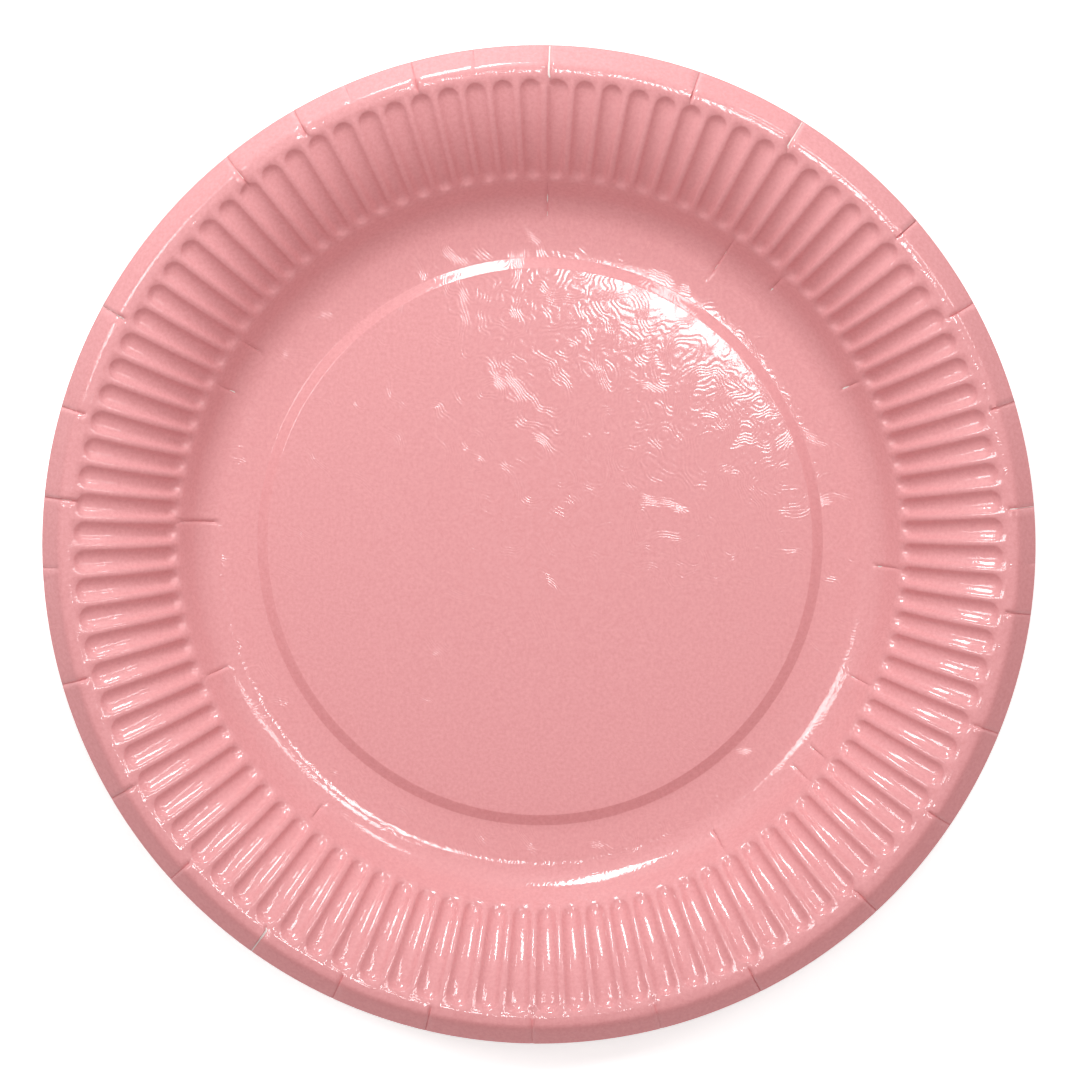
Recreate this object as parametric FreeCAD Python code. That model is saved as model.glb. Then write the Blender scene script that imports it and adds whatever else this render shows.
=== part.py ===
import FreeCAD, Part
import math
import os
from FreeCAD import Vector

# A stack of pressed paper plates, nested in one another, lying upright on a table.
# Origin: centre of the stack on the table. +Z is up, and is the plates' own axis.
# Sizes are in millimetres and angles in degrees. Widths are seen from above,
# and follow one another from the middle of the plate to its cut edge.

# Stack
PLATE_COUNT = 8
NEST_CLEARANCE = 0.25        # upright play between two plates where they are steepest

# Board
BOARD = 0.4                  # thickness of the coated board

# Floor: a raised centre disc, a ring step and a flat ring that stands on the table
DISC_RADIUS = 62.2
STEP_WIDTH = 2.7
STEP_HEIGHT = 1.0            # how far the centre disc stands above the flat ring
RING_WIDTH = 8.1
FOOT_RADIUS = 10.0           # inside radius of the turn from the flat ring to the wall

# Wall and rim
WALL_SLOPE = 40.0            # wall against the table
PLAIN_WALL = 5.0             # wall below the flutes
FLUTED_WALL = 13.9           # wall from the flutes' inner ends to the shoulder
RIM_SLOPE = 11.0             # rim against the table
FLUTED_RIM = 9.5             # rim from the shoulder to the flutes' outer ends
PLAIN_RIM = 3.2              # rim outside the flutes
FLANGE_WIDTH = 4.0           # turned-down edge
FLANGE_SLOPE = 44.0          # turned-down edge against the table

# Flutes: grooves pressed across the wall and the rim
FLUTE_PITCH = 6.12           # from one groove to the next, at the shoulder
FLUTE_DEPTH = 1.1            # square to the wall
FLUTE_LAND = 1.4             # plain board between two grooves
FLUTE_SIDE_SLOPE = 50.0      # sides of a groove against its floor
FLUTE_RAMP = 1.6             # length of the slope at each end of a groove

# Edges of neighbouring faces that are nearer than this are one edge.
SEAM = 0.0005

wall = math.radians(WALL_SLOPE)
rim = math.radians(RIM_SLOPE)
flange = math.radians(FLANGE_SLOPE)
side = math.radians(FLUTE_SIDE_SLOPE)
ramp = math.atan2(FLUTE_DEPTH, FLUTE_RAMP)
step = math.atan2(STEP_HEIGHT, STEP_WIDTH)

step_end = DISC_RADIUS + STEP_WIDTH
foot_start = step_end + RING_WIDTH
wall_start = foot_start + FOOT_RADIUS * math.sin(wall)
flute_start = wall_start + PLAIN_WALL
shoulder = flute_start + FLUTED_WALL
flute_end = shoulder + FLUTED_RIM
rim_end = flute_end + PLAIN_RIM
flute_count = round(2 * math.pi * shoulder / FLUTE_PITCH)
flute_angle = 2 * math.pi / flute_count

# One plate stands above the next by its board, measured upright where it is steepest:
# at the sides of the grooves, at the corners of their outer ends, or at the turned-down edge.
corner_length = math.sqrt(1 + math.tan(ramp) ** 2 + math.tan(side) ** 2)
corner = (math.cos(rim) - math.sin(rim) * math.tan(ramp)) / corner_length
steepest = min(math.cos(wall) * math.cos(side), corner, math.cos(flange))
nest_pitch = BOARD / steepest + NEST_CLEARANCE


def face_height(radius):
    """Height of the upper face of the wall and the rim, as if they had no flutes."""
    height = BOARD + FOOT_RADIUS * (1 - math.cos(wall))
    height += (min(radius, shoulder) - wall_start) * math.tan(wall)
    height += max(radius - shoulder, 0.0) * math.tan(rim)
    return height


def under(radius, slope, distance, turn=0.0):
    """Radius and height of the point this far under the upper face, square to its slope.

    At a bend the slope is halfway between its two sides, and turn is half the bend.
    """
    reach = distance / math.cos(turn)
    return radius + reach * math.sin(slope), face_height(radius) - reach * math.cos(slope)


def line_in_section(start, end):
    """A straight line in the plate's section."""
    return Part.LineSegment(Vector(start[0], 0, start[1]), Vector(end[0], 0, end[1])).toShape()


def foot_in_section(depth):
    """The round turn from the flat ring to the wall, this far under the upper face."""
    radius = FOOT_RADIUS + depth
    points = []
    for angle in (0.0, wall / 2, wall):
        x = foot_start + radius * math.sin(angle)
        z = BOARD + FOOT_RADIUS - radius * math.cos(angle)
        points.append(Vector(x, 0, z))
    return Part.Arc(*points).toShape()


def inner_section(depth, last):
    """Disc, ring step, flat ring, foot and plain wall, this far under the upper face."""
    inset = depth * math.tan(step / 2)
    high = (DISC_RADIUS - inset, BOARD + STEP_HEIGHT - depth)
    low = (step_end - inset, BOARD - depth)
    foot = foot_in_section(depth)
    disc = line_in_section((0, high[1]), high)
    ring_step = line_in_section(high, low)
    flat_ring = line_in_section(low, (foot_start, low[1]))
    turned = foot.Vertexes[-1].Point
    plain_wall = line_in_section((turned.x, turned.z), last)
    return [disc, ring_step, flat_ring, foot, plain_wall]


def outer_section(depth, first):
    """Plain rim and turned-down edge, this far under the upper face, and their last point."""
    fold = under(rim_end, (rim - flange) / 2, depth, (rim + flange) / 2)
    tip_height = face_height(rim_end) - FLANGE_WIDTH * math.tan(flange)
    tip = (rim_end + FLANGE_WIDTH - depth * math.sin(flange), tip_height - depth * math.cos(flange))
    return [line_in_section(first, fold), line_in_section(fold, tip)], tip


def groove_stations(depth):
    """Radius and height of a groove's upper edge and floor, from its inner to its outer end.

    The groove gets longer with the depth under the upper face, so its walls stay one board thick.
    """
    spread = depth * math.tan(ramp / 2)
    inner_end = flute_start - spread * math.cos(wall)
    outer_end = flute_end + spread * math.cos(rim)
    marks = (
        (inner_end, wall, 0.0),
        (inner_end + FLUTE_RAMP * math.cos(wall), wall, 0.0),
        (shoulder, (wall + rim) / 2, (wall - rim) / 2),
        (outer_end - FLUTE_RAMP * math.cos(rim), rim, 0.0),
        (outer_end, rim, 0.0),
    )
    edges = [under(radius, slope, depth, turn) for radius, slope, turn in marks]
    floors = [under(radius, slope, depth + FLUTE_DEPTH, turn) for radius, slope, turn in marks]
    return edges, floors


def pair(station, half_width):
    """The two points of a station, left and right of the groove's middle line."""
    radius, height = station
    along = math.sqrt(radius ** 2 - half_width ** 2)
    return Vector(along, -half_width, height), Vector(along, half_width, height)


def flat(*corners):
    """The flat face with these corners."""
    return Part.Face(Part.makePolygon([*corners, corners[0]]))


def folded(a, b, c, d):
    """Two flat faces that fill the slightly twisted shape with these corners."""
    return [flat(a, b, c), flat(a, c, d)]


def line(ends):
    return Part.LineSegment(*ends).toShape()


def arc_round_axis(ends):
    """The arc between two points, round the plate's axis."""
    radius = math.hypot(ends[0].x, ends[0].y)
    middle = Vector(ends[0].x + ends[1].x, ends[0].y + ends[1].y, 0)
    middle.normalize()
    middle.multiply(radius)
    middle.z = ends[0].z
    return Part.Arc(ends[0], middle, ends[1]).toShape()


def ruled(first, second):
    """The face between two edges."""
    return Part.makeRuledSurface(first, second)


def groove_end(tip, edge, floor, land_tip, land_edge):
    """The slope at one end of a groove, its two corners, and the land beside them."""
    slope = ruled(arc_round_axis(tip), line(floor))
    land = ruled(arc_round_axis(land_tip), line(land_edge))
    corners = [flat(tip[hand], edge[hand], floor[hand]) for hand in (0, 1)]
    return [slope, land, *corners]


def groove_run(edge, floor, land):
    """The floor, sides and land of a groove between two stations."""
    faces = [flat(*floor[0], *reversed(floor[1])), flat(*land[0], *reversed(land[1]))]
    for hand in (0, 1):
        faces.extend(folded(edge[0][hand], edge[1][hand], floor[1][hand], floor[0][hand]))
    return faces


def groove(depth):
    """One groove with the land on its left, this far under the upper face.

    A groove is as wide at its very end as its floor is.
    """
    edges, floors = groove_stations(depth)
    widen = depth * math.tan(side / 2)
    halves = [(flute_angle * radius - FLUTE_LAND) / 2 + widen for radius, height in edges]
    floor_halves = [half - FLUTE_DEPTH / math.tan(side) for half in halves]
    halves[0] = floor_halves[0]
    halves[-1] = floor_halves[-1]
    edge_pairs = [pair(*each) for each in zip(edges, halves)]
    floor_pairs = [pair(*each) for each in zip(floors, floor_halves)]
    turn = FreeCAD.Rotation(Vector(0, 0, 1), math.degrees(flute_angle))
    lands = [(left, turn.multVec(right)) for right, left in edge_pairs]
    faces = groove_end(edge_pairs[0], edge_pairs[1], floor_pairs[1], lands[0], lands[1])
    for first in (1, 2):
        span = slice(first, first + 2)
        faces.extend(groove_run(edge_pairs[span], floor_pairs[span], lands[span]))
    faces.extend(groove_end(edge_pairs[-1], edge_pairs[-2], floor_pairs[-2], lands[-1], lands[-2]))
    return faces, edges[0], edges[-1]


def turned_faces(section):
    """The faces that lines in the section make when they go once round the plate's axis."""
    return [edge.revolve(Vector(0, 0, 0), Vector(0, 0, 1), 360) for edge in section]


def pressed_face(depth):
    """Every face of the plate this far under its upper face, and the last point outside."""
    grooves, inner, outer = groove(depth)
    group = Part.makeCompound(grooves)
    faces = []
    for index in range(flute_count):
        turned = group.copy()
        turned.rotate(Vector(0, 0, 0), Vector(0, 0, 1), math.degrees(index * flute_angle))
        faces.extend(turned.Faces)
    outside, tip = outer_section(depth, outer)
    faces.extend(turned_faces([*inner_section(depth, inner), *outside]))
    return faces, tip


def plate():
    """One pressed plate as a closed solid, standing on its flat ring."""
    upper, upper_tip = pressed_face(0.0)
    lower, lower_tip = pressed_face(BOARD)
    cut_edge = turned_faces([line_in_section(upper_tip, lower_tip)])
    skin = Part.makeCompound([*upper, *lower, *cut_edge])
    skin.sewShape(SEAM)
    return Part.Solid(skin)


os.makedirs("parts", exist_ok=True)
first_plate = plate()
for index in range(PLATE_COUNT):
    nested = first_plate.copy()
    nested.translate(Vector(0, 0, index * nest_pitch))
    nested.exportStep(f"parts/plate_{index + 1:02d}.step")
print("plates", PLATE_COUNT, "flutes", flute_count, "nest pitch", round(nest_pitch, 3))
print("volume of one plate", round(first_plate.Volume, 1), "height", round(face_height(rim_end), 2))
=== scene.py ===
"""Looks for a stack of nested pressed paper plates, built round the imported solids.

Each plate is pressed from one disc of coated board: a raised centre disc, a ring step,
a flat ring, a wall and a rim crossed by grooves, and a turned-down edge with gathers.
"""

import math

import bmesh
import bpy
import numpy as np
from bpy.props import FloatProperty, FloatVectorProperty, IntProperty, PointerProperty
from mathutils import Matrix, Vector


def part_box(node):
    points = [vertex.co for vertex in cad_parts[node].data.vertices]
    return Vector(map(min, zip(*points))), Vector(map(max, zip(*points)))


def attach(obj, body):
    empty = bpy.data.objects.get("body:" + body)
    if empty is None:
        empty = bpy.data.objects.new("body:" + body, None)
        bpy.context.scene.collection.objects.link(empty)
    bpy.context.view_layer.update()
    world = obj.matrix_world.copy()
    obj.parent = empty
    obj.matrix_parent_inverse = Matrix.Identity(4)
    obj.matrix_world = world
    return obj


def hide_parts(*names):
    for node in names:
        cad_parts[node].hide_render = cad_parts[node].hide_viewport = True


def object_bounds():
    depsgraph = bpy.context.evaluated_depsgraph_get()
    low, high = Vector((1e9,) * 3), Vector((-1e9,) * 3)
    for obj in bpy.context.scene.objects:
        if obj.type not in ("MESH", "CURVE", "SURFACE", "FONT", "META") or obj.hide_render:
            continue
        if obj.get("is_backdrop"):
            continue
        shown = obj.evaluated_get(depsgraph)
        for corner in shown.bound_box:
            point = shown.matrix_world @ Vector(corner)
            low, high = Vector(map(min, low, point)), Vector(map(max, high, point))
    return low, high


bl_info = {
    "name": "Pressed Paper Plates",
    "version": (1, 0, 0),
    "blender": (4, 5, 0),
    "location": "3D View > Sidebar > Plates",
    "description": "Builds a stack of pressed, fluted paper plates with their board and stage",
    "category": "Object",
}

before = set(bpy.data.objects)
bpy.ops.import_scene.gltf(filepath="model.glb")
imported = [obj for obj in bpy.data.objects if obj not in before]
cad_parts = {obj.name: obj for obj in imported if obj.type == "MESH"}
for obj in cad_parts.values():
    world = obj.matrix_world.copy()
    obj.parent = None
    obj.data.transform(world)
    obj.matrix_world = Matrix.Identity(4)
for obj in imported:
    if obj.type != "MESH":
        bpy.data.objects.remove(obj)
CAD_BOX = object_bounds()
PLATE_NODES = sorted(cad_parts)
TOP_NODE = PLATE_NODES[-1]
BODY = "root"

# Places round the rim are given in degrees, anticlockwise from +X, as seen from above.
# Gathers of the top plate: (place, how far in from the cut edge in mm, depth in mm).
TOP_GATHERS = (
    (4.65, 7.2, 0.34),
    (16.75, 7.2, 0.30),
    (29.15, 7.4, 0.34),
    (40.75, 7.2, 0.34),
    (58.0, 7.6, 0.38),
    (71.1, 7.4, 0.36),
    (88.9, 9.5, 0.42),
    (97.5, 4.4, 0.24),
    (104.85, 7.6, 0.36),
    (113.0, 4.5, 0.26),
    (119.25, 7.4, 0.36),
    (128.75, 9.0, 0.40),
    (151.1, 7.2, 0.30),
    (163.6, 7.2, 0.32),
    (174.35, 9.0, 0.36),
    (182.6, 5.0, 0.18),
    (184.5, 2.4, 0.18),
    (196.4, 7.4, 0.34),
    (210.6, 7.4, 0.34),
    (222.15, 7.2, 0.30),
    (235.0, 7.6, 0.36),
    (245.6, 7.2, 0.30),
    (256.75, 6.6, 0.30),
    (269.5, 8.6, 0.34),
    (284.5, 7.4, 0.30),
    (296.6, 7.4, 0.34),
    (312.65, 8.0, 0.36),
    (325.85, 7.2, 0.30),
    (337.65, 7.4, 0.34),
    (352.1, 7.2, 0.34),
    (358.0, 3.0, 0.16),
)

# Creases at the foot of the top plate's wall: (place, inner and outer end from the axis in mm).
TOP_FOOT_CREASES = (
    (27.0, 77.5, 83.0),
    (47.5, 78.0, 83.6),
    (57.5, 73.0, 84.0),
    (88.5, 74.5, 84.5),
    (146.0, 77.0, 83.5),
    (153.8, 77.5, 83.0),
    (176.5, 74.0, 84.5),
    (202.0, 77.0, 83.5),
    (230.5, 78.5, 83.0),
    (301.0, 77.0, 83.5),
    (318.5, 77.5, 83.5),
    (323.0, 78.0, 83.0),
    (336.5, 77.5, 83.5),
    (356.0, 77.0, 84.0),
)

# Mesh. All lengths from here on are in metres.
LOOP_MARGIN = 0.0009            # plain board kept round a groove before the plain rows begin
FOOT_OVERLAP = 0.0004           # gap from the foot's last row to the ring's first
DISC_BANDS = (0.055, 0.040, 0.022, 0.0)     # radii where the disc's columns are halved
MERGE_DISTANCE = 2e-6           # points nearer than this are one
SHARP_ANGLE = 60                # edges sharper than this, in degrees, aren't smoothed

# Section
CROWN_POWER = 4                 # the crown is flat in the middle and falls near the step
RING_POWER = 1.5                # the ring bends up slowly, then more
GROOVE_POWERS = (2.8, 1.25)     # roundness of a groove's floor, and of its upper edge

# Creases
COLUMN_BAND = 0.0006            # points this near a crease's middle radius show the columns
CREASE_REACH = 0.012            # how far aside a crease is felt
CREASE_SPILL = 0.0002           # how far past its ends
CREASE_FADES = (0.0012, 0.0010)         # lengths over which it fades in and out
CREASE_FORM = (1.9, 0.5, 0.22)  # valley, lip and lifted edge against the crease's depth
FOOT_CREASE_DEPTH = 0.00022
VALLEY_HALF = 0.00036           # half the width of the valley
LIP_PLACE = 0.00075             # distance of the lip from the valley
LIP_WIDTH = 0.00045
LIFT_REACH = 0.0030             # how far the lifted edge goes back to level
PULL_FROM = (0.0, 0.00085, 0.0017, 0.0026)      # columns beside a crease, as evenly made
PULL_TO = (0.0, 0.00030, 0.0012, 0.0026)        # the same columns, drawn towards it

# Waves of the cut edge that each plate has for itself
OWN_WAVE = 0.00008
OWN_WAVE_START = 0.002          # where they start, inwards from the turned-down edge
OWN_WAVE_RUN = 0.004

# Stage. Lamps: (name, azimuth anticlockwise from +X, angle from straight above, distance,
# size along X and Y, power in watts, colour).
COOL = (0.80, 1.0, 1.0)
WHITE = (1.0, 1.0, 1.0)
LAMPS = (
    ("key_window", 103, 60, 0.65, (0.115, 0.32), 2.6, COOL),
    ("far_window", 60, 52, 1.5, (0.14, 0.26), 1.4, WHITE),
    ("left_box", 157, 25, 1.3, (0.30, 0.20), 2.0, WHITE),
    ("left_strip", 155, 36, 1.5, (0.55, 0.10), 1.8, WHITE),
    ("right_box", 50, 20, 1.5, (0.18, 0.18), 1.6, WHITE),
    ("right_strip", 29, 34, 1.5, (0.60, 0.12), 2.2, WHITE),
    ("over_box", 50, 5.0, 1.6, (0.15, 0.15), 1.55, WHITE),
)
WORLD_COLOUR = (1.0, 0.81, 0.81, 1.0)
WORLD_STRENGTH = 0.42
FLOOR_REACH = 6.0
FLOOR_GREY = 0.90
FLOOR_GLOW = 0.55               # light that only the camera sees, so that the floor is white
AIM_DROP = 0.004                # how far below the stack's top the lamps and the camera aim
CAMERA_ASIDE = (0.00033, 0.0013)        # centre of the picture, from the plates' axis
PHOTO_HALF = 540                # half the photo's width in pixels
PLATE_HALF = 500.0              # half the plate's height in the photo, in pixels
SENSOR = 36.0                   # in millimetres
CLIP_START = 0.01


class PlateSizes(bpy.types.PropertyGroup):
    """Sizes of one pressed plate. Widths are seen from above, from the middle outwards."""

    board: FloatProperty(
        name="Board", description="Thickness of the coated board",
        default=0.0004, unit="LENGTH", precision=4)
    disc_radius: FloatProperty(
        name="Disc", description="Radius of the raised centre disc",
        default=0.0632, unit="LENGTH", precision=4)
    disc_crown: FloatProperty(
        name="Crown", description="How far the disc's middle stands above its edge",
        default=0.0004, unit="LENGTH", precision=4)
    step_width: FloatProperty(
        name="Step Width", description="Width of the ring step",
        default=0.0027, unit="LENGTH", precision=4)
    step_height: FloatProperty(
        name="Step Height", description="Height of the centre disc above the flat ring",
        default=0.0013, unit="LENGTH", precision=4)
    step_corner: FloatProperty(
        name="Step Corners", description="Radius of the step's two corners",
        default=0.00055, unit="LENGTH", precision=4)
    ring_width: FloatProperty(
        name="Ring", description="Width of the flat ring that stands on the table",
        default=0.0081, unit="LENGTH", precision=4)
    ring_rise: FloatProperty(
        name="Ring Rise", description="Height of the flat ring's outer edge above its inner",
        default=0.00018, unit="LENGTH", precision=5)
    foot_width: FloatProperty(
        name="Foot Width", description="Width from the ring to where the plain wall is counted",
        default=0.0062, unit="LENGTH", precision=4)
    foot_radius: FloatProperty(
        name="Foot", description="Inside radius of the turn from the ring to the wall",
        default=0.0096, unit="LENGTH", precision=4)
    wall_slope: FloatProperty(
        name="Wall Slope", description="Plain wall against the table",
        default=math.radians(51.0), subtype="ANGLE")
    plain_wall: FloatProperty(
        name="Plain Wall", description="Width of the wall from there to the grooves",
        default=0.0039, unit="LENGTH", precision=4)
    fluted_wall: FloatProperty(
        name="Fluted Wall", description="Width of the wall from the grooves' inner ends up",
        default=0.0142, unit="LENGTH", precision=4)
    rim_slope: FloatProperty(
        name="Rim Slope", description="Rim against the table, where the wall's long arc ends",
        default=math.radians(8.5), subtype="ANGLE")
    fluted_rim: FloatProperty(
        name="Fluted Rim", description="Width of the rim out to the grooves' outer ends",
        default=0.0095, unit="LENGTH", precision=4)
    plain_rim: FloatProperty(
        name="Plain Rim", description="Width of the rim outside the grooves",
        default=0.0032, unit="LENGTH", precision=4)
    crest_fall: FloatProperty(
        name="Crest Fall", description="How far the rim leans outwards where its edge turns down",
        default=math.radians(5), subtype="ANGLE")
    edge_width: FloatProperty(
        name="Edge", description="Width of the turned-down edge",
        default=0.0040, unit="LENGTH", precision=4)
    edge_slope: FloatProperty(
        name="Edge Slope", description="Turned-down edge against the table",
        default=math.radians(44), subtype="ANGLE")
    edge_radius: FloatProperty(
        name="Edge Turn", description="Outside radius of the turn into the edge",
        default=0.0022, unit="LENGTH", precision=4)
    grooves: IntProperty(
        name="Grooves", description="Grooves pressed across the wall and the rim",
        default=101, min=12)
    groove_depth: FloatProperty(
        name="Groove Depth", description="Depth of a groove, square to the wall",
        default=0.0012, unit="LENGTH", precision=4)
    groove_land: FloatProperty(
        name="Land", description="Plain board between two grooves",
        default=0.0011, unit="LENGTH", precision=4)
    oval: FloatProperty(
        name="Oval", description="How much narrower the plate is along X than along Y",
        default=0.006, min=0.0, max=0.05)
    sag: FloatProperty(
        name="Sag", description="How far the rim dips in its lazy waves",
        default=0.00025, unit="LENGTH", precision=5)


class BoardColours(bpy.types.PropertyGroup):
    """Colours of the board, as sRGB."""

    coated: FloatVectorProperty(
        name="Coated Face", description="Varnished pink face of the board",
        subtype="COLOR_GAMMA", size=3, min=0.0, max=1.0, default=(0.899, 0.610, 0.620))
    bare: FloatVectorProperty(
        name="Bare Board", description="Uncoated underside and cut edge",
        subtype="COLOR_GAMMA", size=3, min=0.0, max=1.0, default=(0.945, 0.925, 0.910))


class StageSizes(bpy.types.PropertyGroup):
    """The camera and the level of the lamps."""

    camera_distance: FloatProperty(
        name="Camera", description="Distance from the top plate's rim to the camera",
        default=3.50, unit="LENGTH")
    camera_lean_x: FloatProperty(
        name="Lean X", description="Lean of the camera's axis towards +X",
        default=math.radians(1.1), subtype="ANGLE")
    camera_lean_y: FloatProperty(
        name="Lean Y", description="Lean of the camera's axis towards +Y",
        default=math.radians(3.3), subtype="ANGLE")
    lamp_level: FloatProperty(
        name="Lamps", description="Strength of all lamps against their usual strength",
        default=1.0, min=0.0)


def linear(hex_colour):
    """A linear RGBA colour from an sRGB hex value."""
    channels = [int(hex_colour[i:i + 2], 16) / 255 for i in (1, 3, 5)]
    return (*[c / 12.92 if c <= 0.04045 else ((c + 0.055) / 1.055) ** 2.4 for c in channels], 1.0)


def hex_of(colour):
    """The sRGB hex value of a colour property."""
    return "#" + "".join(f"{round(255 * c):02x}" for c in colour)


class Section:
    """The plate's section: radii where it turns, and the height and slope between them."""

    def __init__(self, sizes):
        s = sizes
        self.board = s.board
        self.disc = s.disc_radius
        self.crown = s.disc_crown
        self.step_end = self.disc + s.step_width
        self.foot_start = self.step_end + s.ring_width
        self.wall = s.wall_slope
        self.rim = s.rim_slope
        self.edge = s.edge_slope
        self.foot = s.foot_radius
        self.ring_top = s.board + s.ring_rise
        self.lean = RING_POWER * s.ring_rise / s.ring_width
        self.wall_start = self.foot_start + self.foot * (math.sin(self.wall) - self.lean)
        self.groove_start = self.foot_start + s.foot_width + s.plain_wall
        self.groove_end = self.groove_start + s.fluted_wall + s.fluted_rim
        self.rim_end = self.groove_end + s.plain_rim
        self.tip = self.rim_end + s.edge_width
        self.step_height = s.step_height
        self.corner = s.step_corner
        self.step_angle = math.atan2(s.step_height, s.step_width)
        # The two corners take up some of the step's width, so its slant is steeper.
        for _ in range(4):
            run = s.step_width - 2 * self.corner * math.tan(self.step_angle / 2)
            self.step_angle = math.atan2(s.step_height, run)
        self.edge_turn = s.edge_radius
        self.share = 2 * math.pi / s.grooves
        self.depth = s.groove_depth
        self.land = s.groove_land
        self.arc_start = self.groove_start - LOOP_MARGIN
        self.arc_end = self.groove_end
        self.fall = s.crest_fall
        reach = self.edge_turn * math.tan((self.edge - self.fall) / 2)
        self.fold_start = self.rim_end - reach * math.cos(self.fall)
        self.fold_end = self.rim_end + reach * math.cos(self.edge)
        arc_turn = math.sin(self.wall) - math.sin(self.rim)
        self.arc_radius = (self.arc_end - self.arc_start) / arc_turn
        crest_turn = math.sin(self.rim) + math.sin(self.fall)
        self.crest_radius = (self.fold_start - self.arc_end) / crest_turn
        self.foot_top = self.ring_top + self.foot * (math.cos(self.lean) - math.cos(self.wall))
        self.arc_z = self.foot_top + (self.arc_start - self.wall_start) * math.tan(self.wall)
        self.crest_z = float(self.arc(
            self.arc_end, self.arc_start, self.arc_z, self.wall, self.arc_radius))
        self.fold_z = float(self.arc(
            self.fold_start, self.arc_end, self.crest_z, self.rim, self.crest_radius))
        self.edge_z = float(self.arc(
            self.fold_end, self.fold_start, self.fold_z, -self.fall, self.edge_turn))

    def arc(self, r, start, start_height, slope, radius):
        """Height on a round turn that bends down from a slope, where it starts."""
        centre_r = start + radius * math.sin(slope)
        centre_z = start_height - radius * math.cos(slope)
        return centre_z + np.sqrt(np.maximum(radius ** 2 - (r - centre_r) ** 2, 0.0))

    def height(self, r):
        """Height of the upper face without its grooves."""
        r = np.asarray(r, dtype=float)
        top = self.board + self.step_height
        inside = np.clip(r / self.disc, 0.0, 1.0)
        disc = top + self.crown * (1 - inside ** CROWN_POWER)
        radius = self.corner
        reach = radius * math.sin(self.step_angle)
        high_end = self.disc + reach
        low_start = self.step_end - reach
        high = top - radius + np.sqrt(np.maximum(radius ** 2 - (r - self.disc) ** 2, 0.0))
        low = np.sqrt(np.maximum(radius ** 2 - (self.step_end - r) ** 2, 0.0))
        low = self.board + radius - low
        slant = top - radius * (1 - math.cos(self.step_angle))
        slant = slant - (r - high_end) * math.tan(self.step_angle)
        out = np.clip((r - self.step_end) / (self.foot_start - self.step_end), 0.0, 1.0)
        ring = self.board + (self.ring_top - self.board) * out ** RING_POWER
        rise = np.clip(r - self.foot_start, 0.0, self.wall_start - self.foot_start)
        sine = math.sin(self.lean) + rise / self.foot
        cosine = np.sqrt(1 - np.minimum(sine, 1.0) ** 2)
        foot = self.ring_top + self.foot * (math.cos(self.lean) - cosine)
        plain = self.foot_top + (r - self.wall_start) * math.tan(self.wall)
        fluted = self.arc(r, self.arc_start, self.arc_z, self.wall, self.arc_radius)
        crest = self.arc(r, self.arc_end, self.crest_z, self.rim, self.crest_radius)
        fold = self.arc(r, self.fold_start, self.fold_z, -self.fall, self.edge_turn)
        edge = self.edge_z - (r - self.fold_end) * math.tan(self.edge)
        conditions = [
            r <= self.disc, r <= high_end, r <= low_start, r <= self.step_end,
            r <= self.foot_start, r <= self.wall_start, r <= self.arc_start,
            r <= self.arc_end, r <= self.fold_start, r <= self.fold_end,
        ]
        values = [disc, high, slant, low, ring, foot, plain, fluted, crest, fold]
        return np.select(conditions, values, edge)

    def step_rows(self, corner_rows):
        """Radii of the rows down the step, from outside in, close together at its corners."""
        reach = self.corner * math.sin(self.step_angle)
        shares = np.arange(1, corner_rows + 1) / corner_rows
        low = self.step_end - reach * shares
        high = self.disc + reach * (1 - shares)
        return [*low, (self.disc + self.step_end) / 2, self.disc + reach, *high]

    def groove_half(self, r):
        """Half the width of a groove, from its middle line to the flat of the land."""
        return (self.share * r - self.land) / 2

    def groove_centres(self):
        """Radii of the centres of a groove's two round ends."""
        inner = self.groove_start + self.groove_half(self.groove_start)
        outer = self.groove_end - self.groove_half(self.groove_end)
        return inner, outer

    def groove(self, r, across):
        """Depth of the groove at a radius and a distance across its middle line."""
        inner, outer = self.groove_centres()
        beyond = r - np.clip(r, inner, outer)
        distance = np.hypot(beyond, across)
        half = self.groove_half(np.clip(r, inner, outer))
        share = np.clip(distance / half, 0.0, 1.0)
        floor, edge = GROOVE_POWERS
        return self.depth * (1 - share ** floor) ** edge

    def upper(self, r, angle):
        """Points of the upper face at a radius and an angle from a groove's middle line."""
        step = 1e-6
        slope = np.arctan((self.height(r + step) - self.height(r - step)) / (2 * step))
        depth = self.groove(r, r * angle)
        along = r + depth * np.sin(slope)
        z = self.height(r) - depth * np.cos(slope)
        return np.stack([along * np.cos(angle), along * np.sin(angle), z], axis=-1)

    def face(self, r, angle, under):
        """Points of the upper face, or of the underside one board below it."""
        points = self.upper(r, angle)
        if not under:
            return points
        step = 2e-6
        out = self.upper(r + step, angle) - self.upper(r - step, angle)
        turn = step / np.maximum(r, step)
        round_ = self.upper(r, angle + turn) - self.upper(r, angle - turn)
        normal = np.cross(out, round_)
        length = np.linalg.norm(normal, axis=-1, keepdims=True)
        normal = np.where(length > 0, normal / np.maximum(length, 1e-30), (0.0, 0.0, 1.0))
        return points - self.board * normal


# How finely one groove's share of a plate is divided. ends is the divisions round a groove's
# end; loops are shares of its half width; the other numbers count rows, on the disc band
# by band.
FINE = {
    "ends": 16, "loops": (0.0, 0.26, 0.46, 0.63, 0.77, 0.89, 1.0), "sides": 14,
    "wall": 3, "foot": 10, "ring": 3, "step": 3, "disc": (1, 4, 9, 10),
    "rim": 4, "fold": 5, "edge": 4,
}
PLAIN = {
    "ends": 8, "loops": (0.0, 0.55, 1.0), "sides": 5,
    "wall": 1, "foot": 2, "ring": 1, "step": 1, "disc": (0, 1, 3, 3),
    "rim": 2, "fold": 2, "edge": 2,
}


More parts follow.
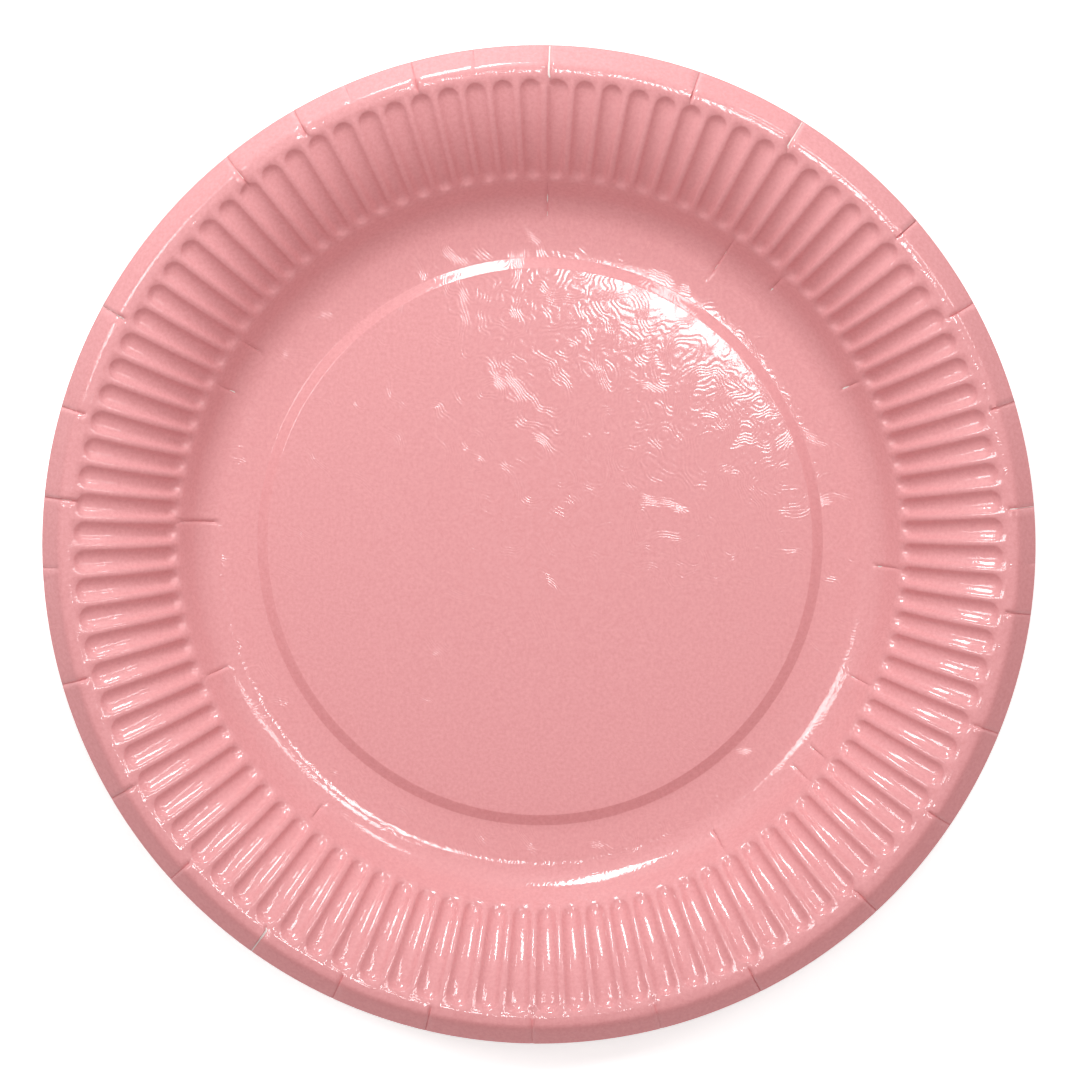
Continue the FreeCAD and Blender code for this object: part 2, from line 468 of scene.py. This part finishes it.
class ShareMesh:
    """Collects the faces of one groove's share of the plate."""

    def __init__(self):
        self.points = []
        self.faces = []
        self.under = []

    def add_grid(self, points, under):
        """Joins the rows of a grid of points with faces."""
        rows, columns = points.shape[:2]
        first = len(self.points)
        self.points.extend(points.reshape(-1, 3).tolist())
        for i in range(rows - 1):
            for j in range(columns - 1):
                a = first + i * columns + j
                self.faces.append((a, a + 1, a + columns + 1, a + columns))
                self.under.append(under)

    def add_halving(self, wide, narrow, under):
        """Joins a row to one with every second point, with three faces for each pair."""
        first = len(self.points)
        self.points.extend(wide.tolist())
        second = len(self.points)
        self.points.extend(narrow.tolist())
        for k in range(len(narrow) - 1):
            a = first + 2 * k
            b = second + k
            self.faces.extend([(a, a + 1, b), (a + 1, b + 1, b), (a + 1, a + 2, b + 1)])
            self.under.extend([under] * 3)


def end_shares(ends):
    """Columns of a row across one share, from -1 to 1, where lines from a groove's end meet it."""
    quarter = np.arange(ends // 4 + 1) * (math.pi / ends)
    half = np.tan(quarter)
    return np.concatenate([-half[:0:-1], half])


def add_groove(mesh, section, detail, under):
    """The groove and its land, in loops round the groove's middle line."""
    inner, outer = section.groove_centres()
    half_share = section.share / 2
    rows = {1: section.groove_end + LOOP_MARGIN, -1: section.groove_start - LOOP_MARGIN}
    turns = np.linspace(-math.pi / 2, math.pi / 2, detail["ends"] + 1)
    for way, centre in ((1, outer), (-1, inner)):
        width = float(section.groove_half(np.array(centre)))
        reach = abs(rows[way] - centre)
        radii = []
        angles = []
        for loop in detail["loops"]:
            r = centre + way * loop * width * np.cos(turns)
            radii.append(r)
            angles.append(loop * width * np.sin(turns) / r)
        ratio = np.tan(np.clip(np.abs(turns), 0, math.pi / 2 - 1e-9))
        border_r = centre + way * reach * np.minimum(1.0, 1 / np.maximum(ratio, 1e-9))
        border_a = np.sign(turns) * half_share * np.minimum(1.0, ratio)
        radii.append(border_r)
        angles.append(border_a)
        mesh.add_grid(section.face(np.array(radii), np.array(angles), under), under)
    stations = np.linspace(inner, outer, detail["sides"] + 1)
    half = section.groove_half(stations)
    for hand in (-1, 1):
        angles = [hand * loop * half / stations for loop in detail["loops"]]
        angles.append(np.full_like(stations, hand * half_share))
        radii = np.tile(stations, (len(angles), 1))
        mesh.add_grid(section.face(radii, np.array(angles), under), under)
    return rows[-1], rows[1]


def row_points(section, radius, shares, under):
    """One row of points across a share, at a radius from the axis."""
    angles = shares * section.share / 2
    return section.face(np.full_like(angles, radius), angles, under)


def add_rows(mesh, section, radii, shares, under):
    """Plain rows of faces between these radii."""
    rows = [row_points(section, r, shares, under) for r in radii]
    mesh.add_grid(np.array(rows), under)


def add_floor(mesh, section, detail, start, shares, under):
    """Plain wall, foot, ring, step and disc, with fewer columns towards the axis."""
    radii = [start]
    for target, key in ((section.wall_start, "wall"), (section.foot_start, "foot")):
        radii.extend(np.linspace(radii[-1], target, detail[key] + 1)[1:])
    first = section.foot_start - FOOT_OVERLAP
    radii.extend(np.linspace(first, section.step_end, detail["ring"] + 1))
    radii.extend(section.step_rows(detail["step"]))
    add_rows(mesh, section, radii, shares, under)
    reach = section.disc
    for band, count in zip(DISC_BANDS, detail["disc"]):
        if len(shares) > 2:
            halved = shares[::2]
            inner = reach - (reach - band) / (count + 1)
            mesh.add_halving(
                row_points(section, reach, shares, under),
                row_points(section, inner, halved, under), under)
            reach, shares = inner, halved
        if count:
            add_rows(mesh, section, np.linspace(reach, band, count + 1), shares, under)
            reach = band


def add_rim(mesh, section, detail, start, shares, under):
    """Plain rim, its turn and the turned-down edge."""
    radii = [start]
    for target, key in (
        (section.fold_start, "rim"), (section.fold_end, "fold"), (section.tip, "edge"),
    ):
        radii.extend(np.linspace(radii[-1], target, detail[key] + 1)[1:])
    add_rows(mesh, section, radii, shares, under)


def share_mesh(section, upper_detail, under_detail):
    """One groove's share of the plate, from the axis to the cut edge, both faces."""
    mesh = ShareMesh()
    tips = []
    for detail, under in ((upper_detail, False), (under_detail, True)):
        shares = end_shares(detail["ends"])
        inner, outer = add_groove(mesh, section, detail, under)
        add_floor(mesh, section, detail, inner, shares, under)
        add_rim(mesh, section, detail, outer, shares, under)
        tips.append(row_points(section, section.tip, shares, under))
    wide, narrow = sorted(tips, key=len, reverse=True)
    if len(wide) == len(narrow):
        mesh.add_grid(np.array([wide, narrow]), True)
    else:
        mesh.add_halving(wide, narrow, True)
    data = bpy.data.meshes.new("groove_share")
    data.from_pydata(mesh.points, [], mesh.faces)
    mark = data.attributes.new("bare", "BOOLEAN", "FACE")
    mark.data.foreach_set("value", mesh.under)
    return data


def add_node(tree, kind, settings=None, links=None):
    """Adds a node with its settings and links. Numbers and names in links are its sockets."""
    node = tree.nodes.new(kind)
    for key, value in (settings or {}).items():
        if isinstance(key, int) or (key in node.inputs and not hasattr(node, key)):
            node.inputs[key].default_value = value
        else:
            setattr(node, key, value)
    for key, source in (links or {}).items():
        tree.links.new(source, node.inputs[key])
    return node


def round_tree():
    """Geometry nodes that repeat one groove's share round the axis and give it its finish."""
    tree = bpy.data.node_groups.new("pressed_round", "GeometryNodeTree")
    face = tree.interface
    face.new_socket("Geometry", in_out="INPUT", socket_type="NodeSocketGeometry")
    face.new_socket("Grooves", in_out="INPUT", socket_type="NodeSocketInt")
    face.new_socket("Oval", in_out="INPUT", socket_type="NodeSocketFloat")
    face.new_socket("Coated", in_out="INPUT", socket_type="NodeSocketMaterial")
    face.new_socket("Bare", in_out="INPUT", socket_type="NodeSocketMaterial")
    face.new_socket("Geometry", in_out="OUTPUT", socket_type="NodeSocketGeometry")
    given = add_node(tree, "NodeGroupInput")
    points = add_node(tree, "GeometryNodeMeshLine", {}, {"Count": given.outputs["Grooves"]})
    points.inputs["Offset"].default_value = (0.0, 0.0, 0.0)
    index = add_node(tree, "GeometryNodeInputIndex")
    share = add_node(tree, "ShaderNodeMath", {"operation": "DIVIDE", 0: 2 * math.pi},
                     {1: given.outputs["Grooves"]})
    angle = add_node(tree, "ShaderNodeMath", {"operation": "MULTIPLY"},
                     {0: index.outputs[0], 1: share.outputs[0]})
    turn = add_node(tree, "ShaderNodeCombineXYZ", {}, {"Z": angle.outputs[0]})
    copies = add_node(tree, "GeometryNodeInstanceOnPoints", {}, {
        "Points": points.outputs[0], "Instance": given.outputs["Geometry"],
        "Rotation": turn.outputs[0]})
    real = add_node(tree, "GeometryNodeRealizeInstances", {}, {0: copies.outputs[0]})
    joined = add_node(tree, "GeometryNodeMergeByDistance", {"Distance": MERGE_DISTANCE},
                      {0: real.outputs[0]})
    narrow = add_node(tree, "ShaderNodeMath", {"operation": "SUBTRACT", 0: 1.0},
                      {1: given.outputs["Oval"]})
    stretch = add_node(tree, "ShaderNodeCombineXYZ", {"Y": 1.0, "Z": 1.0},
                       {"X": narrow.outputs[0]})
    place = add_node(tree, "GeometryNodeInputPosition")
    scaled = add_node(tree, "ShaderNodeVectorMath", {"operation": "MULTIPLY"},
                      {0: place.outputs[0], 1: stretch.outputs[0]})
    oval = add_node(tree, "GeometryNodeSetPosition", {}, {
        "Geometry": joined.outputs[0], "Position": scaled.outputs[0]})
    coated = add_node(tree, "GeometryNodeSetMaterial", {}, {
        "Geometry": oval.outputs[0], "Material": given.outputs["Coated"]})
    mark = add_node(tree, "GeometryNodeInputNamedAttribute", {
        "data_type": "BOOLEAN", "Name": "bare"})
    bare = add_node(tree, "GeometryNodeSetMaterial", {}, {
        "Geometry": coated.outputs[0], "Selection": mark.outputs[0],
        "Material": given.outputs["Bare"]})
    add_node(tree, "NodeGroupOutput", {}, {0: bare.outputs[0]})
    return tree


def set_input(modifier, name, value):
    """Sets a geometry nodes input by its socket's identifier."""
    for item in modifier.node_group.interface.items_tree:
        if item.item_type == "SOCKET" and item.in_out == "INPUT" and item.name == name:
            modifier[item.identifier] = value


def pressed_round(section, sizes, upper_detail, under_detail):
    """A whole plate's mesh, with its lowest face on the table."""
    share = bpy.data.objects.new("groove_share", share_mesh(section, upper_detail, under_detail))
    bpy.context.scene.collection.objects.link(share)
    modifier = share.modifiers.new("round", "NODES")
    modifier.node_group = bpy.data.node_groups.get("pressed_round") or round_tree()
    set_input(modifier, "Grooves", sizes.grooves)
    set_input(modifier, "Oval", sizes.oval)
    set_input(modifier, "Coated", bpy.data.materials["Varnished Pink Board"])
    set_input(modifier, "Bare", bpy.data.materials["Bare White Board"])
    bpy.context.view_layer.update()
    depsgraph = bpy.context.evaluated_depsgraph_get()
    mesh = bpy.data.meshes.new_from_object(share.evaluated_get(depsgraph), depsgraph=depsgraph)
    share.modifiers.clear()
    bpy.data.objects.remove(share)
    whole = bmesh.new()
    whole.from_mesh(mesh)
    bmesh.ops.remove_doubles(whole, verts=whole.verts, dist=MERGE_DISTANCE)
    bmesh.ops.dissolve_degenerate(whole, edges=whole.edges, dist=1e-7)
    bmesh.ops.recalc_face_normals(whole, faces=whole.faces)
    whole.to_mesh(mesh)
    whole.free()
    return mesh


def vertex_places(mesh):
    """The vertices of a mesh as an array."""
    places = np.empty(len(mesh.vertices) * 3, np.float64)
    mesh.vertices.foreach_get("co", places)
    return places.reshape(-1, 3)


def smooth(value):
    """0 below 0, 1 above 1, and a soft S between."""
    t = np.clip(value, 0.0, 1.0)
    return t * t * (3 - 2 * t)


def even_out(angle):
    """Where a groove of an even plate lies on this one: crowded at +Y and spread at -Y."""
    shift = -0.64 + 2.92 * np.cos(angle + 0.276) + 0.38 * np.cos(2 * angle + 1.43)
    return angle + np.radians(shift + 0.11 * np.cos(3 * angle - 1.09))


def snap(angle, columns):
    """The nearest column's angle."""
    return columns[np.argmin(np.abs((columns - angle + math.pi) % (2 * math.pi) - math.pi))]


def crease_offsets(aside, depth, lip, lift):
    """Depth of a crease at a distance aside from it, with a raised lip and one edge lifted."""
    valley = -depth * np.clip(1 - np.abs(aside) / VALLEY_HALF, 0.0, 1.0)
    ridge = lip * np.exp(-((aside - LIP_PLACE) / LIP_WIDTH) ** 2)
    beside = np.abs(aside) > 1e-5
    lifted = lift * np.sign(aside) * np.exp(-np.abs(aside) / LIFT_REACH) * beside
    return valley + ridge + lifted


def pull_in(aside):
    """Draws the columns beside a crease towards it, so that it is narrow."""
    near = np.abs(aside)
    pulled = np.interp(near, PULL_FROM, PULL_TO)
    return np.sign(aside) * np.where(near < PULL_FROM[-1], pulled, near)


def press_creases(places, creases, section):
    """Presses radial creases: (angle, inner radius, outer radius, depth, which side is lifted)."""
    radius = np.hypot(places[:, 0], places[:, 1])
    angle = np.arctan2(places[:, 1], places[:, 0])
    for place, inner, outer, depth, side in creases:
        middle = (inner + min(outer, section.tip)) / 2
        band = np.abs(radius - middle) < COLUMN_BAND
        columns = angle[band] if band.any() else angle
        centre = snap(place, columns)
        turned = (angle - centre + math.pi) % (2 * math.pi) - math.pi
        aside = turned * radius
        near = np.abs(aside) < CREASE_REACH
        near &= (radius > inner - CREASE_SPILL) & (radius < outer + CREASE_SPILL)
        if not near.any():
            continue
        fade = smooth((radius[near] - inner) / CREASE_FADES[0])
        fade = fade * smooth((outer - radius[near]) / CREASE_FADES[1])
        new_aside = aside[near] + (pull_in(aside[near]) - aside[near]) * np.minimum(fade * 2, 1)
        new_angle = centre + new_aside / radius[near]
        places[near, 0] = radius[near] * np.cos(new_angle)
        places[near, 1] = radius[near] * np.sin(new_angle)
        rise = crease_offsets(side * new_aside, *[depth * part for part in CREASE_FORM])
        places[near, 2] += fade * rise
        angle[near] = new_angle


def rim_waves(angle, seed):
    """Lazy waves round the rim, from -1 to 1."""
    chance = np.random.default_rng(seed)
    total = np.zeros_like(angle)
    for waves, weight in ((2, 0.30), (3, 0.28), (5, 0.20), (8, 0.12), (13, 0.10)):
        total += weight * np.sin(waves * angle + chance.uniform(0, 2 * math.pi))
    return total


def finish_press(mesh, section, sizes, gathers, foot_creases, seed, lift):
    """Gives a plate its uneven grooves, gathers, creases and waves, and lifts it in place."""
    places = vertex_places(mesh)
    angle = np.arctan2(places[:, 1], places[:, 0])
    radius = np.hypot(places[:, 0], places[:, 1])
    angle = even_out(angle)
    places[:, 0] = radius * np.cos(angle)
    places[:, 1] = radius * np.sin(angle)
    outer = [(math.radians(place), section.tip - reach / 1000, section.tip + 0.01, depth / 1000,
              1 if index % 2 else -1) for index, (place, reach, depth) in enumerate(gathers)]
    inner = [(math.radians(place), low / 1000, high / 1000, FOOT_CREASE_DEPTH,
              1 if index % 2 else -1) for index, (place, low, high) in enumerate(foot_creases)]
    press_creases(places, outer, section)
    press_creases(places, inner, section)
    angle = np.arctan2(places[:, 1], places[:, 0])
    radius = np.hypot(places[:, 0], places[:, 1])
    dip = smooth((radius - section.wall_start) / (section.tip - section.wall_start))
    places[:, 2] -= sizes.sag * dip * (1 - rim_waves(angle, 7)) / 2
    own = smooth((radius - section.rim_end + OWN_WAVE_START) / OWN_WAVE_RUN)
    own = rim_waves(angle, seed) * own
    places[:, 2] -= OWN_WAVE * (1 + own)
    places[:, 2] = np.maximum(places[:, 2], 0.0) + lift
    mesh.vertices.foreach_set("co", places.ravel())
    mesh.update()


def random_gathers(seed):
    """Gathers of a plate that is hidden but for its edge, spaced as those of the top plate."""
    chance = np.random.default_rng(seed)
    gathers = []
    place = chance.uniform(0, 12)
    while place < 360:
        gathers.append((place, chance.uniform(5.5, 8.0), chance.uniform(0.10, 0.17)))
        place += chance.uniform(9.5, 16.5)
    return gathers


def add_plate(node, upper_detail, under_detail, gathers, foot_creases, seed):
    """One plate of the stack, in the place of its solid."""
    sizes = bpy.context.scene.plate_sizes
    section = Section(sizes)
    mesh = pressed_round(section, sizes, upper_detail, under_detail)
    finish_press(mesh, section, sizes, gathers, foot_creases, seed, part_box(node)[0].z)
    mesh.name = f"{node}_pressed"
    mesh.shade_smooth()
    mesh.set_sharp_from_angle(angle=math.radians(SHARP_ANGLE))
    plate = bpy.data.objects.new(f"{node}_pressed", mesh)
    bpy.context.scene.collection.objects.link(plate)
    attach(plate, BODY)
    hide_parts(node)


def new_material(name):
    """An empty node material, its tree and its output."""
    material = bpy.data.materials.new(name)
    material.use_nodes = True
    tree = material.node_tree
    tree.nodes.clear()
    return material, tree, add_node(tree, "ShaderNodeOutputMaterial")


def add_range(tree, source, given, wanted):
    """Adds a node that turns one range of values into another, and stops at its ends."""
    return add_node(tree, "ShaderNodeMapRange", {
        1: given[0], 2: given[1], 3: wanted[0], 4: wanted[1]}, {0: source})


def add_ramp(tree, source, low, high):
    """Adds a ramp between two stops: (place, colour)."""
    ramp = add_node(tree, "ShaderNodeValToRGB", {}, {"Fac": source})
    for element, (place, colour) in zip(ramp.color_ramp.elements, (low, high)):
        element.position = place
        element.color = colour
    return ramp


def tinted(base, red, rest):
    """A linear colour made lighter or darker, its red by itself."""
    return (base[0] * red, base[1] * rest, base[2] * rest, 1.0)


def varnished_board(colours):
    """Clay-coated paperboard, printed solid pink and varnished, then pressed.

    The varnish gives small sharp glints; pressing leaves a fine crinkle in it that breaks
    a reflection into threads, and the board's fibres show as a faint mottle under the ink.
    """
    tree, output = new_material("Varnished Pink Board")[1:]
    place = add_node(tree, "ShaderNodeTexCoord").outputs["Object"]
    base = linear(hex_of(colours.coated))
    mottle = add_node(tree, "ShaderNodeTexNoise", {
        "Scale": 1300.0, "Detail": 2.0, "Roughness": 0.6}, {"Vector": place})
    ramp = add_ramp(tree, mottle.outputs["Fac"],
                    (0.25, tinted(base, 0.95, 0.90)), (0.75, tinted(base, 1.05, 1.10)))
    field = add_node(tree, "ShaderNodeTexNoise", {
        "Scale": 75.0, "Detail": 2.0, "Roughness": 0.5, "Distortion": 0.2}, {"Vector": place})
    lines = add_node(tree, "ShaderNodeMath", {"operation": "MULTIPLY", 1: 185.0},
                     {0: field.outputs["Fac"]})
    wrinkle = add_node(tree, "ShaderNodeMath", {"operation": "SINE"}, {0: lines.outputs[0]})
    patch = add_node(tree, "ShaderNodeTexNoise", {"Scale": 140.0, "Detail": 1.0},
                     {"Vector": place})
    spread = add_range(tree, patch.outputs["Fac"], (0.40, 0.62), (0.70, 1.0))
    patched = add_node(tree, "ShaderNodeMath", {"operation": "MULTIPLY"},
                       {0: wrinkle.outputs[0], 1: spread.outputs[0]})
    pits = add_node(tree, "ShaderNodeTexNoise", {"Scale": 950.0, "Detail": 1.5}, {"Vector": place})
    rough = add_node(tree, "ShaderNodeMath", {"operation": "MULTIPLY_ADD", 1: 2.2},
                     {0: pits.outputs["Fac"], 2: patched.outputs[0]})
    axes = add_node(tree, "ShaderNodeSeparateXYZ", {}, {0: place})
    turn = add_node(tree, "ShaderNodeMath", {"operation": "ARCTAN2"},
                    {0: axes.outputs["Y"], 1: axes.outputs["X"]})
    level = add_node(tree, "ShaderNodeVectorMath", {"operation": "MULTIPLY", 1: (1.0, 1.0, 0.0)},
                     {0: place})
    radius = add_node(tree, "ShaderNodeVectorMath", {"operation": "LENGTH"}, {0: level.outputs[0]})
    around = add_node(tree, "ShaderNodeMath", {"operation": "MULTIPLY", 1: 75.0},
                      {0: turn.outputs[0]})
    outward = add_node(tree, "ShaderNodeMath", {"operation": "MULTIPLY", 1: 260.0},
                       {0: radius.outputs["Value"]})
    polar = add_node(tree, "ShaderNodeCombineXYZ", {}, {
        0: around.outputs[0], 1: outward.outputs[0]})
    comb = add_node(tree, "ShaderNodeTexNoise", {"Scale": 1.0, "Detail": 2.0},
                    {"Vector": polar.outputs[0]})
    outside = add_range(tree, radius.outputs["Value"], (0.066, 0.0735), (0.0, 5.0))
    full = add_node(tree, "ShaderNodeMath", {"operation": "MULTIPLY_ADD"},
                    {0: comb.outputs["Fac"], 1: outside.outputs[0], 2: rough.outputs[0]})
    crinkle = add_node(tree, "ShaderNodeBump", {"Strength": 1.0, "Distance": 0.0000050},
                       {"Height": full.outputs[0]})
    shader = add_node(tree, "ShaderNodeBsdfPrincipled", {
        "Roughness": 0.50, "IOR": 1.45, "Specular IOR Level": 0.35, "Coat Weight": 1.0,
        "Coat Roughness": 0.08, "Coat IOR": 1.5,
    }, {
        "Base Color": ramp.outputs["Color"], "Normal": crinkle.outputs["Normal"],
        "Coat Normal": crinkle.outputs["Normal"]})
    tree.links.new(shader.outputs["BSDF"], output.inputs["Surface"])


def bare_board(colours):
    """Bleached paperboard, uncoated: a dull, slightly fibrous white with a warm cast."""
    tree, output = new_material("Bare White Board")[1:]
    place = add_node(tree, "ShaderNodeTexCoord").outputs["Object"]
    base = linear(hex_of(colours.bare))
    fibre = add_node(tree, "ShaderNodeTexNoise", {
        "Scale": 1100.0, "Detail": 4.0, "Roughness": 0.65, "Distortion": 0.6}, {"Vector": place})
    shaded = (base[0] * 0.93, base[1] * 0.92, base[2] * 0.90, 1.0)
    ramp = add_ramp(tree, fibre.outputs["Fac"], (0.3, shaded), (0.7, base))
    bump = add_node(tree, "ShaderNodeBump", {"Strength": 0.8, "Distance": 0.00003},
                    {"Height": fibre.outputs["Fac"]})
    shader = add_node(tree, "ShaderNodeBsdfPrincipled", {
        "Roughness": 0.85, "IOR": 1.45, "Specular IOR Level": 0.25,
    }, {"Base Color": ramp.outputs["Color"], "Normal": bump.outputs["Normal"]})
    tree.links.new(shader.outputs["BSDF"], output.inputs["Surface"])


def white_floor():
    """A white sweep, lifted to pure white for the camera with the stack's own shadow kept."""
    material, tree, output = new_material("White Sweep")
    paper = add_node(tree, "ShaderNodeBsdfDiffuse", {
        "Color": (FLOOR_GREY, FLOOR_GREY, FLOOR_GREY, 1.0)})
    ray = add_node(tree, "ShaderNodeLightPath")
    lift = add_node(tree, "ShaderNodeMath", {"operation": "MULTIPLY", 1: FLOOR_GLOW},
                    {0: ray.outputs["Is Camera Ray"]})
    glow = add_node(tree, "ShaderNodeEmission", {}, {"Strength": lift.outputs[0]})
    both = add_node(tree, "ShaderNodeAddShader", {}, {0: paper.outputs[0], 1: glow.outputs[0]})
    tree.links.new(both.outputs[0], output.inputs["Surface"])
    return material


class PLATES_OT_board(bpy.types.Operator):
    """Makes the varnished and the bare board"""

    bl_idname = "plates.board"
    bl_label = "Board Materials"

    def execute(self, context):
        varnished_board(context.scene.board_colours)
        bare_board(context.scene.board_colours)
        return {"FINISHED"}


class PLATES_OT_top(bpy.types.Operator):
    """Presses the top plate, the one that shows its whole face"""

    bl_idname = "plates.top"
    bl_label = "Top Plate"

    def execute(self, context):
        add_plate(TOP_NODE, FINE, PLAIN, TOP_GATHERS, TOP_FOOT_CREASES, 11)
        return {"FINISHED"}


class PLATES_OT_nested(bpy.types.Operator):
    """Presses the plates under the top one; the lowest shows its underside"""

    bl_idname = "plates.nested"
    bl_label = "Nested Plates"

    def execute(self, context):
        for index, node in enumerate(PLATE_NODES[:-1]):
            under = PLAIN if index else FINE
            add_plate(node, PLAIN, under, random_gathers(100 + index), (), 20 + index)
        return {"FINISHED"}


def aim(thing, target):
    """Turns a lamp or camera so that it looks at a point, with +Y up in its picture."""
    back = (thing.location - Vector(target)).normalized()
    right = Vector((0.0, 1.0, 0.0)).cross(back).normalized()
    turned = Matrix((right, back.cross(right), back)).transposed()
    thing.rotation_euler = turned.to_euler()


def add_lamp(name, azimuth, off_vertical, distance, size, power, colour, target, level):
    """Adds a soft box, at an azimuth anticlockwise from +X and an angle from straight above."""
    light = bpy.data.lights.new(name, "AREA")
    light.shape = "RECTANGLE"
    light.size, light.size_y = size
    light.energy = power * level
    light.color = colour
    lamp = bpy.data.objects.new(name, light)
    turn = math.radians(azimuth)
    lean = math.radians(off_vertical)
    level_way = math.sin(lean)
    way = Vector((level_way * math.cos(turn), level_way * math.sin(turn), math.cos(lean)))
    lamp.location = Vector(target) + way * distance
    bpy.context.scene.collection.objects.link(lamp)
    aim(lamp, target)


class PLATES_OT_stage(bpy.types.Operator):
    """Makes the floor, the lamps and the camera"""

    bl_idname = "plates.stage"
    bl_label = "Stage"

    def execute(self, context):
        scene = context.scene
        stage = scene.stage_sizes
        low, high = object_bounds()
        floor_mesh = bpy.data.meshes.new("floor")
        corners = [(x * FLOOR_REACH, y * FLOOR_REACH, low[2])
                   for x, y in ((-1, -1), (1, -1), (1, 1), (-1, 1))]
        floor_mesh.from_pydata(corners, [], [(0, 1, 2, 3)])
        floor_mesh.materials.append(white_floor())
        floor = bpy.data.objects.new("floor", floor_mesh)
        scene.collection.objects.link(floor)
        floor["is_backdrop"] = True
        for lamp in LAMPS:
            add_lamp(*lamp, (0.0, 0.0, high[2] - AIM_DROP), stage.lamp_level)
        world = bpy.data.worlds.new("studio")
        world.use_nodes = True
        background = world.node_tree.nodes["Background"]
        background.inputs["Color"].default_value = WORLD_COLOUR
        background.inputs["Strength"].default_value = WORLD_STRENGTH
        scene.world = world
        camera = bpy.data.objects.new("camera", bpy.data.cameras.new("camera"))
        scene.collection.objects.link(camera)
        half_frame = PHOTO_HALF / PLATE_HALF * (CAD_BOX[1][1] - CAD_BOX[0][1]) / 2
        camera.data.sensor_width = SENSOR
        camera.data.sensor_fit = "HORIZONTAL"
        camera.data.lens = SENSOR / 2 * stage.camera_distance / half_frame
        camera.data.clip_start = CLIP_START
        centre = Vector((*CAMERA_ASIDE, high[2] - AIM_DROP))
        offset = Vector((math.tan(stage.camera_lean_x), math.tan(stage.camera_lean_y), 1.0))
        camera.location = centre + offset.normalized() * stage.camera_distance
        aim(camera, centre)
        scene.camera = camera
        scene.view_settings.view_transform = "Standard"
        return {"FINISHED"}


class PLATES_PT_panel(bpy.types.Panel):
    """Sizes, colours and steps of the stack"""

    bl_idname = "PLATES_PT_panel"
    bl_label = "Pressed Paper Plates"
    bl_space_type = "VIEW_3D"
    bl_region_type = "UI"
    bl_category = "Plates"

    def draw(self, context):
        layout = self.layout
        for operator in ("plates.board", "plates.top", "plates.nested", "plates.stage"):
            layout.operator(operator)
        for group in ("plate_sizes", "board_colours", "stage_sizes"):
            settings = getattr(context.scene, group)
            box = layout.box()
            for name in settings.__annotations__:
                box.prop(settings, name)


CLASSES = (
    PlateSizes, BoardColours, StageSizes,
    PLATES_OT_board, PLATES_OT_top, PLATES_OT_nested, PLATES_OT_stage, PLATES_PT_panel,
)


def register():
    """Makes the operators, the panel and the three groups of settings known to Blender."""
    for cls in CLASSES:
        bpy.utils.register_class(cls)
    bpy.types.Scene.plate_sizes = PointerProperty(type=PlateSizes)
    bpy.types.Scene.board_colours = PointerProperty(type=BoardColours)
    bpy.types.Scene.stage_sizes = PointerProperty(type=StageSizes)


def unregister():
    """Takes them away again."""
    del bpy.types.Scene.plate_sizes
    del bpy.types.Scene.board_colours
    del bpy.types.Scene.stage_sizes
    for cls in reversed(CLASSES):
        bpy.utils.unregister_class(cls)


def main():
    """Builds the stack and its stage."""
    register()
    bpy.ops.plates.board()
    bpy.ops.plates.top()
    bpy.ops.plates.nested()
    bpy.ops.plates.stage()


if __name__ == "__main__":
    main()
